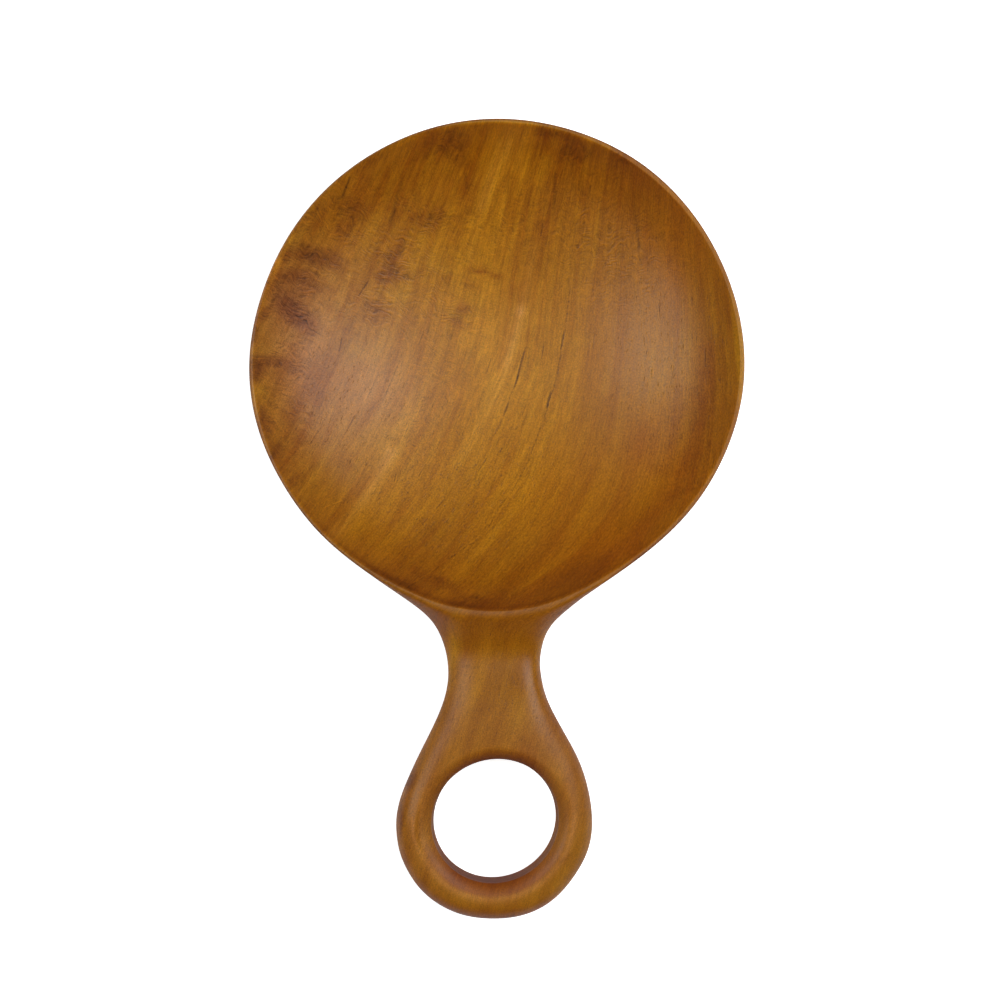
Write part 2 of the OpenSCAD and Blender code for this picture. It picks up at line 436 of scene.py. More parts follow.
top.loop(polar(0.0), gap=0.12)
for q in (0.16, -0.18, -0.42, -0.85, -1.5, -2.4, -3.5):
    pts = polar(q)
    top.loop(pts, gap=0.1)
for dr in (0.14, 0.4, 0.85, 1.45, 2.2, 3.0, 3.6, 4.2, 4.8, 5.4, 6.0, 6.6):
    top.loop(hole_loop(TOP_HOLE, dr), gap=0.12 if dr < 0.8 else 0.4)
near = np.abs(angles) < 32
for q in (0.45, 0.85, 1.4, 2.1, 3.0, 4.0):
    pts = polar(q)[near]
    pts = pts[inside(pts, EDGE)]
    top.loop(pts, gap=0.3)


def keep_top(p):
    ok = inside(p, EDGE)
    ok &= hole_rho(p[:, 0], p[:, 1], TOP_HOLE) > TOP_HOLE[2] + 0.5
    r, phi = np.hypot(p[:, 0], p[:, 1]), np.degrees(np.arctan2(p[:, 0], p[:, 1]))
    q = r - hollow_r(phi)
    ok &= (q < -3.6) | (q > 0.5)
    ok[ok] &= edge_distance(p[ok]) > 0.5
    return ok


top.fill(1.45, keep_top)
top_p, top_tri = triangulate(top, hole_top, fixed)

# Underside
low = Cloud()
low.loop(EDGE, line=True)
hole_low = hole_loop(LOW_HOLE)
low.loop(hole_low, line=True)
wl = lerp(1.0, 5.5, smooth(63.0, 87.0, edge_s))
for share in [1 - math.cos(math.radians(a)) for a in (16, 30, 42, 54, 66, 78, 90)]:
    low.loop(EDGE + NORMAL * (wl * share)[:, None], gap=0.0)
for off in (1.9, 3.2):
    ok = edge_s < 66
    low.loop((EDGE + NORMAL * off)[ok], gap=0.45)
for r in (FOOT_R, FOOT_R - 0.7, FOOT_R + 0.7, FOOT_R - 1.8, FOOT_R + 1.8):
    low.loop(circle((0, 0), r, 240), gap=0.3)
for dr in (0.14, 0.4, 0.85, 1.45, 2.2, 3.05, 3.95):
    low.loop(hole_loop(LOW_HOLE, dr), gap=0.12 if dr < 0.8 else 0.45)


def keep_low(p):
    ok = inside(p, EDGE)
    ok &= hole_rho(p[:, 0], p[:, 1], LOW_HOLE) > LOW_HOLE[2] + 0.5
    ok[ok] &= edge_distance(p[ok]) > 0.6
    return ok


low.fill(1.8, keep_low)
low_p, low_tri = triangulate(low, hole_low, fixed)

# Heights of both, and one mesh of all
d_top, d_low = edge_distance(top_p), edge_distance(low_p)
d_top[:N_EDGE] = 0
d_low[:N_EDGE] = 0
h_top = top_h(top_p[:, 0], top_p[:, 1], d_top)
h_low = low_h(low_p[:, 0], low_p[:, 1], d_low)
h_low[:N_EDGE] = h_top[:N_EDGE]

flat = [np.column_stack([top_p, h_top]), np.column_stack([low_p[N_EDGE:], h_low[N_EDGE:]])]
n_top = len(top_p)
low_id = np.concatenate([np.arange(N_EDGE), n_top + np.arange(len(low_p) - N_EDGE)])
faces = [top_tri, low_id[low_tri][:, ::-1]]

# Wall of the finger hole, from the upper edge to the lower
up_ring = np.arange(N_EDGE, N_EDGE + N_HOLE)
down_ring = low_id[np.arange(N_EDGE, N_EDGE + N_HOLE)]
rings = [up_ring]
count = n_top + len(low_p) - N_EDGE
a3 = np.column_stack([hole_top, h_top[up_ring]])
b3 = np.column_stack([hole_low, h_low[N_EDGE:N_EDGE + N_HOLE]])
for t in (0.02, 0.07, 0.2, 0.4, 0.6, 0.8, 0.93, 0.98):
    flat.append(lerp(a3, b3, t))
    rings.append(np.arange(count, count + N_HOLE))
    count += N_HOLE
rings.append(down_ring)
for a, b in zip(rings, rings[1:]):
    a1, b1 = np.roll(a, -1), np.roll(b, -1)
    faces.append(np.stack([a, a1, b], 1))
    faces.append(np.stack([a1, b1, b], 1))
flat = np.vstack(flat)
faces = np.vstack(faces)

solid = bend(flat[:, 0], flat[:, 1], flat[:, 2])

# How deep each point lies under the top surface, for the figure of the wood
all_d = np.concatenate([d_top, d_low[N_EDGE:], np.full(len(flat) - n_top - len(low_p) + N_EDGE, 9.0)])
depth = np.maximum(0.0, top_h(flat[:, 0], flat[:, 1], all_d) - flat[:, 2])
depth[:n_top] = 0.0

# ---------------------------------------------------------------------------
# Figure of the wood, carried by the points: u runs across the grain, v along it,
# and w into the wood, in millimetres.
# ---------------------------------------------------------------------------
def grain_uv(x, y):
    X, Y = x / 75.0, y / 75.0
    u_bowl = 0.72 * X - 0.19 * Y + 0.04 * X ** 2 + 0.22 * X * Y + 0.08 * Y ** 2 \
        + 0.06 * X ** 3 + 0.05 * X * X * Y + 0.10 * X * Y * Y - 0.135 * Y ** 3
    v_bowl = 0.27 * X + 0.91 * Y - 0.14 * X ** 2 - 0.12 * X * Y + 0.08 * Y ** 2 \
        - 0.03 * X ** 3 - 0.09 * X * X * Y + 0.04 * X * Y * Y - 0.17 * Y ** 3
    lean = math.radians(74)
    u_neck = 0.95 * X * math.sin(lean) - 0.95 * (Y + 1.02) * math.cos(lean) + 0.42
    v_neck = X * math.cos(lean) + (Y + 1.02) * math.sin(lean) - 0.68
    m = smooth(74.0, 88.0, -y)
    return 75 * lerp(u_bowl, u_neck, m) / 0.75, 75 * lerp(v_bowl, v_neck, m)


U, V = grain_uv(solid[:, 0], solid[:, 1])
U = U + 0.55 * depth
V = V + 0.2 * depth
W = -depth + 0.15 * solid[:, 0]

# Soft areas of the figure, and of painted shade, light and sheen: place (mm), half length, half width,
# direction of the length (degrees above +X), and how much lighter or darker red, green and blue are.
DARK, RED, GOLD, PALE = (-0.25, -0.33, -0.4), (-0.14, -0.30, -0.4), (0.07, 0.15, 0.1), (0.10, 0.13, 0.5)
# the second of these only raises blue: over the left of the hollow a pinkish tone with a painted sheen, on the neck and
# ring a painted sheen
LIGHT, PINK_AND_SHEEN = (0.17, 0.28, 0.3), (0.0, 0.0, 1.5)
PATCHES = [
    # paler figure between the smudges and across the left of the hollow
    (-56, 24, 5, 2.5, -20, DARK, 0.2), (-61, 36.5, 3.4, 1.8, 0, GOLD, 1.2), (-47, 14, 4, 5, 90, GOLD, 0.7), (-70, 4, 2.4, 2, 0, GOLD, 1.0), (-71, -8.5, 2, 3, 80, GOLD, 1.2), (-47, 5, 3, 4, 90, GOLD, 0.8),
    (-34, 22.5, 3.5, 2.0, 0, GOLD, 0.8), (-16, 32, 3, 3, 60, GOLD, 0.8), (-12, 47, 3, 3.5, 60, GOLD, 0.7), (-12, 17, 3, 1.0, 0, GOLD, 1.0),
    (-50, 40, 3.5, 4.5, 0, RED, 0.6), (-10, 72, 6, 1.6, 8, DARK, 0.35), (-19, 71, 8, 2.0, 14, LIGHT, 0.8), (-17, 35, 6, 6, 0, LIGHT, 0.5), (-17, 53, 7, 7, 0, RED, 0.25), (-16, 69, 4, 3, 0, RED, 0.6), (70, 28, 14, 2.2, -72, LIGHT, 0.4),
    (52, 28, 5, 10, 0, RED, 0.35), (-52, 27.5, 4, 1.6, -15, GOLD, 0.4), (-52, 13, 6, 4, 60, PALE, 0.4),
    (-65, 9, 4, 2.2, 0, GOLD, 0.7), (-71, -10, 2.2, 2.6, 75, GOLD, 0.7), (-62, -20, 4, 3, 40, GOLD, 0.5),
    (-42, 5, 5, 2.2, 0, GOLD, 0.7), (-24, 28, 3.4, 3.0, 60, GOLD, 0.6), (-31, 23, 4, 2.5, 0, GOLD, 0.5),
    (-36, -8, 13, 7, 66, PALE, 0.6), (-28, -28, 12, 7, 62, PALE, 0.5), (-66, -24, 3, 2.2, 60, GOLD, 0.6),
    (-8, 22, 4, 2, -20, GOLD, 0.5), (-5, 14, 4, 3, 70, PALE, 0.4), (-38, 38, 4, 3.4, 70, GOLD, 0.5),
    (-25, 53, 4, 6, 72, GOLD, 0.6), (-57, 3, 8, 2.5, 10, RED, 0.35), (-62, -7, 7, 3.4, 10, RED, 0.5),
    (-42, 53, 3.2, 3.2, 0, RED, 0.7), (11, 46, 14, 1.5, 80, PALE, 0.3),
    # golden ground, low left and middle
    (-21, 56, 6, 9, 72, GOLD, 0.4), (-33, 44, 5, 9, 70, GOLD, 0.35), (11, -55, 15, 5, 42, GOLD, 0.6), (-55, -38, 14, 5, 60, GOLD, 1.1), (27, 9, 4, 2, 0, GOLD, 0.8),
    (4, -69.5, 6, 2, 5, LIGHT, 0.6), (57, -43, 8, 2.4, 55, LIGHT, 0.5), (56, 52, 14, 3.0, -47, LIGHT, 0.35), (-21, 64, 1.5, 1.8, 0, LIGHT, 0.7),
    (-22, -50, 16, 5, 35, GOLD, 0.4), (-43, -50, 9, 4.0, 48, GOLD, 0.8), (-10, -36, 13, 4, 58, GOLD, 0.4),
    (47, -37, 8, 5, 50, GOLD, 0.6), (-22, -57, 7, 2.6, 32, DARK, 0.4), (-14.5, -45, 6, 1.6, 43, DARK, 0.45),
    # broad painted shade and light: darker and redder up the walls, lighter in places; the bluer ones over the left of
    # the hollow are a pinkish tone with a painted sheen
    (-18, 54, 8, 7, 0, DARK, 0.6), (-18, 54, 8, 7, 0, RED, 0.4), (-36, 53, 8, 7, 30, DARK, 0.3), (-36, 53, 8, 7, 30, RED, 0.4),
    (37, 53, 9, 8, -30, DARK, 0.6), (37, 53, 9, 8, -30, RED, 0.5), (19, 53, 6, 7, 0, DARK, 0.45), (-54, 36, 8, 7, 0, DARK, 0.3),
    (-35, 35, 8, 7, 0, DARK, 0.25), (-35, 35, 8, 7, 0, RED, 0.2), (19, 35, 8, 7, 0, DARK, 0.35), (-17, -56, 9, 6, 30, DARK, 0.3),
    (1, -58, 8, 6, 20, DARK, 0.4), (20, -56, 9, 6, 40, RED, 0.7), (37, -38, 9, 8, 50, RED, 0.5), (0, -73, 14, 4, 0, DARK, 0.6),
    (-35, -20, 8, 8, 0, LIGHT, 0.9), (-35, -38, 8, 7, 0, LIGHT, 0.4), (-35, -1, 8, 7, 0, LIGHT, 0.4), (1, 8, 9, 16, 0, LIGHT, 0.35),
    (56, -1, 7, 8, 0, LIGHT, 0.6), (75, 0, 14, 2.4, 90, LIGHT, 1.4), (-52, 10, 26, 18, 90, PINK_AND_SHEEN, 1.2), (-36, -14, 14, 12, 60, PINK_AND_SHEEN, 0.8),
    (2, 14, 16, 10, 80, PINK_AND_SHEEN, 0.3), (-66, 20, 16, 6, 70, PINK_AND_SHEEN, 0.45), (-64, -10, 26, 8, 90, PINK_AND_SHEEN, 0.6),
    # the lower right is a little lighter, behind the lip a little redder
    (55, -35, 8, 9, 0, (0.12, 0.07, -0.5), 1.0), (37, -57, 7, 5, 30, (0.18, 0.18, -0.5), 1.0), (19, -38, 8, 7, 0, (0.09, 0.08, -0.3), 1.0),
    (55, 34, 6, 9, 0, (0.08, 0.04, -0.4), 1.0), (0, -75.5, 22, 3, 0, RED, 0.45), (-17, -111, 4, 5, 70, LIGHT, 0.35), (20, -129, 4, 6, 0, LIGHT, 0.5),
    (-68.5, 27, 8, 1.6, 68, (0.2, 0.2, 0.0), 1.0), (-35, -20, 7, 7, 0, (0.04, 0.09, 0.0), 1.0),
    # redder wood down the right wall, and darker and redder round the walls at the top and bottom
    (66, 0, 13, 2.6, 89, DARK, 0.35), (62, -20, 12, 2.6, 72, DARK, 0.35), (55, -38, 10, 2.6, 58, DARK, 0.35),
    (46, -20, 8, 3.0, 70, RED, 0.5), (69, -22, 16, 4, 68, RED, 0.6), (52, -55, 14, 4.5, 45, RED, 0.35),
    (36, -52, 10, 5, 40, RED, 0.6), (64, 40, 18, 6, -60, RED, 0.6), (46, 58, 12, 4, -35, RED, 0.7),
    (28, -63, 9, 3.0, 32, DARK, 1.1), (32, -61, 10, 2.4, 34, RED, 0.8), (10, -70, 9, 2.2, 12, DARK, 0.4), (46, -26, 7, 5, 70, RED, 0.6), (33, 66, 12, 3.0, -26, DARK, 0.8),
    (-27, -67, 9, 2.0, -28, DARK, 0.6), (-45, -58, 8, 1.8, -42, DARK, 0.4),
    (60, -8, 9, 4, 75, RED, 0.4), (34, 6, 16, 10, 80, RED, 0.35),
    # the handle is a shade darker, the ring lighter and bluer with a painted sheen, the middle of the hollow lighter
    (0, -125, 42, 40, 90, (-0.14, -0.24, -0.3), 1.0), (0, -142, 30, 18, 0, PINK_AND_SHEEN, 1.3), (0, -144, 30, 16, 0, LIGHT, 0.35), (2, 3, 17, 13, 72, PALE, 0.9),
    # neck and ring; the bluer patches on the neck's left and on the right flank are painted sheen
    (-12, -83, 6, 2.2, 82, GOLD, 1.0), (-9.5, -96.5, 6, 4.2, 68, LIGHT, 0.9), (-9.5, -96.5, 6, 4.2, 68, PINK_AND_SHEEN, 0.6), (-1.5, -103, 10, 2.2, 60, DARK, 0.6),
    (-7, -86, 4, 2.0, 82, DARK, 0.35), (2, -92, 7, 5, 90, DARK, 0.5), (-15, -108, 7, 3, 60, DARK, 0.4), (-17, -112, 6, 4, 60, RED, 0.3),
    (13, -115, 9, 4, 110, LIGHT, 0.95), (13, -115, 9, 5, 110, PINK_AND_SHEEN, 0.8), (-13, -86, 5, 2.4, 80, LIGHT, 1.1),
    (8, -108, 12, 4.0, 110, GOLD, 0.8), (26, -150, 8, 4, 60, GOLD, 0.9), (18, -162, 8, 3, 30, GOLD, 0.7),
    (-14, -164, 9, 3, -20, GOLD, 0.4), (24, -126, 6, 3, 110, RED, 0.4), (10, -118, 5, 3, 90, RED, 0.5)]


def soft_sum(patches):
    out = np.zeros((len(solid), 3))
    for x, y, a, b, turn, tone, share in patches:
        c, s_ = math.cos(math.radians(turn)), math.sin(math.radians(turn))
        dx, dy = solid[:, 0] - x, solid[:, 1] - y
        e = ((dx * c + dy * s_) / a) ** 2 + ((dy * c - dx * s_) / b) ** 2
        out += np.exp(-0.5 * e)[:, None] * np.array(tone) * share
    return out


# Short dark smudges of curled figure, most of them at the upper left:
# place, half length, half width, direction of the length, depth
SMUDGES = [
    (-15, 68, 4.8, 4.0, -12, 1.2), (-10.3, 62, 1.6, 1.6, 0, 0.6), (-21, 63, 1.8, 3.0, 70, 0.35),
    (-39.5, 61.5, 7.5, 1.2, 33, 0.5), (-44.8, 48, 4.4, 2.8, -12, 0.85), (-48.3, 41.8, 1.9, 2.0, 0, 0.6),
    (-23.5, 44.5, 5.0, 2.6, -35, 0.55), (-18.3, 47.5, 3.2, 2.6, 0, 0.5), (-55.3, 33.3, 5.6, 2.2, -16, 1.25),
    (-59, 33.0, 2.6, 1.2, -10, 0.5), (-64.5, 32.8, 2.4, 1.1, 60, 0.8), (-59, 43.8, 2.4, 0.8, 60, 0.5),
    (-61.5, 41, 2.0, 0.8, 60, 0.5), (-55.5, 47, 2.2, 0.8, 60, 0.4), (-66.5, 26, 2.6, 1.5, 50, 0.7),
    (-60.5, 27, 3.6, 1.9, 5, 0.95), (-60, 22.5, 2.6, 1.4, -40, 0.45), (-64, 17.5, 6.0, 2.6, -45, 1.4),
    (-59, 12.8, 3.2, 2.0, -30, 0.7), (-71.5, 14.5, 2.6, 0.9, 55, 1.0), (-73.8, 8, 2.6, 0.9, 85, 0.8),
    (-69, 1.0, 3.6, 1.3, -5, 0.8), (-73, -2, 2.6, 1.8, 85, 1.3), (-62, -2, 4.0, 2.4, 0, 0.45), (-70, -20, 3.0, 1.8, 80, 0.9),
    (-56, 23.5, 3.4, 1.8, -20, 0.45), (-64, 6.2, 3.4, 0.9, -5, 0.35),
    (-71.5, -16, 3.0, 1.0, 80, 0.6), (-67.3, -27.5, 3.6, 1.6, 64, 0.6), (-62, -36, 2.4, 1.6, 40, 0.5),
    (-31.5, 35, 5.4, 2.2, 76, 0.6), (-30.5, 28.5, 5.8, 2.6, -8, 0.5), (-35.5, 28, 1.8, 1.6, 0, 0.4),
    (-37, 16.8, 6.0, 4.0, -14, 0.45), (-8.8, 26.5, 2.4, 2.0, 0, 0.4), (-10.6, 18.5, 2.2, 1.5, 0, 0.9),
    (-6, 30.6, 4.0, 0.9, -8, 0.5), (-13, 14.5, 4.8, 1.3, -27, 0.55), (-29, 5, 4.0, 1.5, 0, 0.25),
    (-18, 0, 2.2, 3.4, 65, 0.25), (-40.5, -15.5, 6.0, 4.0, 55, 0.3), (-38, -62.5, 2.6, 1.4, -40, 0.7), (-24, -63.5, 2.2, 1.6, -30, 0.7), (-15, -67, 3.0, 1.4, -20, 0.7), (-10, -73, 4.0, 0.8, -6, 0.9),
    (-32, -65.5, 3.0, 1.3, -30, 0.7), (-26, -67.5, 2.6, 1.3, -25, 0.7), (-18.5, -66, 2.4, 1.6, -10, 0.5),
    (-6, -71.5, 4.0, 1.2, -8, 0.6), (16, 71, 5.0, 1.6, -8, 0.6), (24, 66, 3.0, 2.0, -25, 0.9),
    (18.5, 64, 2.0, 2.0, 0, 0.5), (38, 63.3, 3.0, 1.3, -35, 0.7), (25, 56, 6.0, 5.0, 0, 0.2),
    (-26.0, -128, 2.8, 1.4, 60, 0.9), (-28.8, -139, 3.4, 0.8, 90, 0.9), (-28.5, -146, 2.0, 0.6, 90, 0.4),
    (22.5, -152, 3.0, 1.3, 50, 0.5), (-13, -113, 3.0, 2.0, 0, 0.35)]
smudge = np.zeros(len(solid))
for x, y, a, b, turn, dark in SMUDGES:
    c, s_ = math.cos(math.radians(turn)), math.sin(math.radians(turn))
    dx, dy = solid[:, 0] - x, solid[:, 1] - y
    smudge += dark * np.exp(-0.5 * (((dx * c + dy * s_) / (0.92 * a)) ** 2 + ((dy * c - dx * s_) / (0.92 * b)) ** 2))
smudge *= np.exp(-depth / 5.0)

# Paler and redder streaks along the grain: half width, share, places
TAN = [(1.6, 0.20, [(0, 68), (-4, 56), (-6.5, 46.5), (-8, 38), (-9, 30)]), (1.0, 0.16, [(3, 68), (2, 58), (1.5, 47)]),
       (1.6, 0.34, [(11.5, 38), (9.5, 28), (7, 18)]), (2.3, 0.46, [(7.5, 18), (4.7, 8), (3, 2)]), (2.3, 0.25, [(2.3, -1), (-1, -10), (-6, -20), (-12, -29)]),
       (2.2, 0.32, [(3, 73), (2, 66), (-1, 60), (-4.5, 50)]), (2.4, 0.24, [(7, 72), (5.5, 62)]), (1.2, 0.14, [(14.5, 55), (14.2, 47)]),
       (2.4, 0.42, [(-33, -27), (-39, -38), (-45, -47), (-51, -54)]), (2.0, 0.22, [(37, 15), (36.5, 5), (34, -6)]),
       (1.4, 0.14, [(28, -30), (24, -38), (18, -47), (12, -55)]), (1.6, 0.12, [(1.5, -10), (-2.5, -22), (-8, -33)]),
       (2.0, 0.12, [(-15, -10), (-20, -22), (-27, -34)]), (1.7, -0.48, [(-5.5, 71), (-8.5, 63), (-11.5, 55)]),
       (1.5, -0.45, [(15, 70), (15, 66)]), (1.8, -0.38, [(25, 63), (25.3, 52)]), (1.6, -0.2, [(31, 60), (31, 50)]), (2.8, -0.24, [(46, 43), (47, 33)]),
       (0.8, -0.42, [(-10, 31.2), (-5, 30.4), (1, 28.6)]), (1.7, -0.24, [(-47, 55), (-51, 44)]), (1.5, -0.20, [(-34, 60), (-37, 50)]),
       (2.6, -0.24, [(5, 51), (3.5, 46)]), (1.3, -0.20, [(-16, -48), (-22, -54)]), (1.0, -0.2, [(10, 12), (9, 4)])]
ROSE = [(2.6, 0.9, [(65.5, 6), (65.5, 0), (65, -8), (64, -14), (62, -18.5), (59, -25.5), (57, -30.5), (55, -36), (52, -41),
                    (47, -47.5), (44, -51), (42, -57)]),
        (1.4, 0.2, [(28, 48), (29, 34), (28, 20), (26, 6)]), (1.5, 0.25, [(52, 44), (53, 30), (52, 14), (50, 0)]),
        (1.0, 0.15, [(33, 22), (33, 8), (31, -6)])]
# Short marks, open pores and scratches: half width, depth (negative is light), ends
MARKS = [(0.45, 0.42, (8.9, 6.6), (5.4, -6.4)), (0.45, 0.30, (3.6, -10.6), (2.4, -13.6)), (0.45, 0.36, (21.0, 12.0), (19.9, 6.0)),
         (0.6, 0.52, (17.0, -7.0), (15.7, -12.0)), (0.7, 0.26, (42, 48), (44.5, 31)), (0.38, 0.32, (13.8, 45), (13.3, 41)), (0.5, -0.13, (24.5, 69), (24.3, 49)),
         (0.8, 0.26, (17.5, 60), (17.4, 51)), (0.8, 0.20, (-10.3, 60), (-10, 55)), (0.6, 0.42, (-45.3, 57), (-47.8, 51)),
         (0.9, 0.28, (-29.5, 57.5), (-33.8, 43.5)), (0.38, 0.42, (-43.2, 22), (-40.3, 26.5)), (0.38, 0.38, (-49.2, 4.5), (-48.3, 8.5)),
         (0.3, -0.2, (-53, -44), (-47, -41.5)), (0.32, 0.36, (-31.7, -35.6), (-31.3, -33.4)), (0.3, 0.34, (-5.5, -32), (-3, -28)),
         (0.3, 0.32, (8.0, -14.5), (9.0, -11.5)), (0.32, 0.36, (13.9, 3.5), (14.7, 7.5)), (0.36, 0.30, (-37, -2), (-41, -11)),
         (0.36, 0.30, (-31, 1), (-35, -9)), (0.34, 0.28, (-44, -15), (-47, -21)), (0.7, 0.10, (-10, -92.4), (-4.6, -92.6)),
         (0.8, 0.5, (24.8, 37.7), (24.8, 38.3)), (0.4, -0.3, (36.5, 51.8), (36.5, 52.2)), (0.35, -0.3, (48.5, -1.2), (48.5, -0.8)),
         (0.35, -0.35, (10.2, -48.2), (10.2, -47.8)), (0.35, -0.3, (4.5, -70.7), (4.5, -70.3)), (0.4, 0.3, (-52, 20.3), (-52, 20.7)),
         (0.3, 0.30, (-27.5, -18), (-29, -22)), (0.3, 0.28, (-22, -30), (-24.5, -34.5)), (0.3, 0.30, (30.5, 11), (30, 7)),
         (0.3, 0.28, (50, 20), (50.5, 15)), (0.3, 0.28, (28, -26), (26, -30.5)), (0.32, 0.30, (-16, -41), (-18.5, -44)),
         (0.3, 0.28, (-2, 3), (-3.2, -1)), (0.35, 0.3, (-23, 12), (-24.5, 7.5)), (0.35, 0.28, (-55, -20), (-57.5, -24.5)),
         (0.35, 0.30, (64, 6), (64, 2))]


def to_segment(x, y, p, q):
    """Distance to the line from p to q, and how far along and across it."""
    dx, dy = q[0] - p[0], q[1] - p[1]
    size = math.hypot(dx, dy)
    along = ((x - p[0]) * dx + (y - p[1]) * dy) / size
    across = ((y - p[1]) * dx - (x - p[0]) * dy) / size
    beyond = np.maximum(np.abs(along - size / 2) - size / 2, 0)
    return np.hypot(across, beyond), along - size / 2, across, size / 2


def streaks(table):
    out = np.zeros(len(solid))
    for wide, share, places in table:
        far = np.min([to_segment(solid[:, 0], solid[:, 1], a, b)[0] for a, b in zip(places, places[1:])], axis=0)
        out += share * np.exp(-(far / (0.95 * wide)) ** 2)
    return out * np.exp(-depth / 5.0)


# Each point carries where it lies along and across its nearest mark; the depth is
# nought wherever the nearest mark could change between neighbouring points
marked = np.zeros((len(solid), 3))
first, second = np.full(len(solid), 1e6), np.full(len(solid), 1e6)
for wide, dark, a, b in MARKS:
    far, along, across, half = to_segment(solid[:, 0], solid[:, 1], a, b)
    nearer = far < first
    second = np.where(nearer, first, np.minimum(second, far))
    first = np.where(nearer, far, first)
    reach = half + 0.3
    marked[nearer] = np.column_stack([across / (0.7 * wide), along / reach, np.full(len(solid), dark)])[nearer]
marked[:, 2] *= smooth(2.9, 4.0, second - first) * (1 - smooth(2.5, 4.0, first)) * (depth < 0.5)
tan_s, rose_s = streaks(TAN), streaks(ROSE)

# End grain, where the surface cuts across the fibres, takes more oil and is darker; the same term paints shade on
# slopes that face along the handle, away from the side lights
face_n = np.cross(solid[faces[:, 1]] - solid[faces[:, 0]], solid[faces[:, 2]] - solid[faces[:, 0]])
point_n = np.zeros_like(solid)
for i in range(3):
    np.add.at(point_n, faces[:, i], face_n)
point_n /= np.linalg.norm(point_n, axis=1)[:, None]
run = np.radians(lerp(72.0, 84.0, smooth(-50.0, 60.0, solid[:, 0])))
end_grain_and_shade = (point_n[:, 0] * np.cos(run) + point_n[:, 1] * np.sin(run)) ** 2

fade = np.exp(-depth / 9.0)[:, None]
flat_rho = hole_rho(flat[:, 0], flat[:, 1], TOP_HOLE) - TOP_HOLE[2]
across_hole, along_hole = flat[:, 0] - TOP_HOLE[0], flat[:, 1] - TOP_HOLE[1]
# painted highlight and wear on the ring's crest: paler and bluer along it, and on the left two painted highlight lines
# with a darker one between
crest_at = 4.4 * crest_out(flat[:, 1]) * (1 + 0.26 * smooth(6.0, 16.0, -across_hole) * smooth(12.0, 0.0, np.abs(along_hole - 2)))
left_side = smooth(6.0, 16.0, -across_hole) * smooth(16.0, 4.0, np.abs(along_hole - 2))
crest = np.exp(-((flat_rho - crest_at) / lerp(1.1, 0.75, left_side)) ** 2) \
    + left_side * (0.5 * np.exp(-((flat_rho - 3.4) / 0.6) ** 2) - 0.5 * np.exp(-((flat_rho - 4.5) / 0.6) ** 2))
crest *= (flat[:, 1] > 108) * np.exp(-depth / 0.6) * lerp(0.35, 1.0, smooth(-14.0, 0.0, along_hole))
handle = smooth(74.0, 84.0, -solid[:, 1])[:, None]
# painted shade on the wall of the finger hole; the same mask makes the wall rougher
wall = smooth(0.2, 1.2, depth) * (flat_rho < 1.0)
# painted shade on the slope into the hole, darkest on the bowl's side and the left
bearing_hole = np.degrees(np.arctan2(across_hole, -along_hole))
hole_slope_shade = (np.exp(-(np.maximum(flat_rho, 0) / 1.8) ** 2)
            * np.interp(bearing_hole, [-180, -150, -110, -60, -10, 40, 100, 150, 180], [0.3, 0.1, -0.2, 1.0, 1.15, 0.35, -0.15, 0.1, 0.3])
            + 0.16 * (1 - smooth(-1.6, -0.3, flat_rho - crest_at))) * (flat[:, 1] > 108) * (flat_rho < 8)
# and redder at the far end, painted as shade
far_slope_shade = (1 - smooth(-1.6, -0.3, flat_rho - crest_at)) * (flat[:, 1] > 108) * (flat_rho < 8) * (1 - wall) \
    * np.interp(bearing_hole, [-180, -150, -125, -105, 105, 130, 150, 180], [0.7, 1.1, 0.4, 0, 0, 0.5, 1.0, 0.7])
radius, bearing = np.hypot(solid[:, 0], solid[:, 1]), np.degrees(np.arctan2(solid[:, 0], -solid[:, 1]))
past_lip = radius - hollow_r(bearing)
# the lip's inner edge is rubbed lighter; its outer edge is painted darker as shade, but for the right
lip_wear_and_edge_shade = np.interp(bearing, [-180, -158, -132, -112, -90, -70, -50, -35, -25, 25, 35, 60, 90, 130, 158, 180],
                      [0.17, 0.24, 0.10, 0.34, 0.06, 0.15, 0.12, 0.06, 0, 0, 0.02, 0.17, 0.03, 0.18, 0.34, 0.17]) \
    * np.exp(-((all_d - 1.35) / 0.45) ** 2 - depth / 0.6) \
    - np.interp(bearing, [-180, -158, -132, -112, -90, -70, -50, -35, -25, 25, 35, 60, 90, 130, 158, 180],
                [0.36, 0.22, 0.2, 0.0, 0.38, 0.15, 0.55, 0.35, 0, 0, 0.60, 0.14, 0, 0, 0, 0.36]) \
    * (1 - smooth(0.45, 0.95, all_d)) * np.exp(-depth / 0.6)
inner_line = np.exp(-((past_lip + 0.95) / 0.5) ** 2) * np.exp(-depth) \
    * np.interp(bearing, [-180, -120, -60, -30, 0, 30, 50, 100, 150, 180], [0.2, 0.4, 0.6, 1.0, 1.0, 0.9, 0.1, -0.3, -0.2, 0.2])
tint = np.exp(soft_sum(PATCHES) * fade + lip_wear_and_edge_shade[:, None] * np.array([1.0, 1.25, 1.0]) - inner_line[:, None] * np.array([0.22, 0.30, 0.3]) - end_grain_and_shade[:, None] * lerp(np.array([0.30, 0.62, 0.9]), np.array([0.36, 0.80, 0.6]), handle)
              + crest[:, None] * np.array([0.22, 0.27, 1.3]) - (wall + hole_slope_shade)[:, None] * np.array([0.34, 0.50, 0.8]) - far_slope_shade[:, None] * np.array([0.18, 0.45, 1.5]))

# Where the figure is curled (ripples across the grain), and where the lip is worn
def spots(places):
    out = np.zeros(len(solid))
    for x, y, a, b, share in places:
        out += share * np.exp(-0.5 * (((solid[:, 0] - x) / a) ** 2 + ((solid[:, 1] - y) / b) ** 2))
    return np.clip(out, 0, 1)


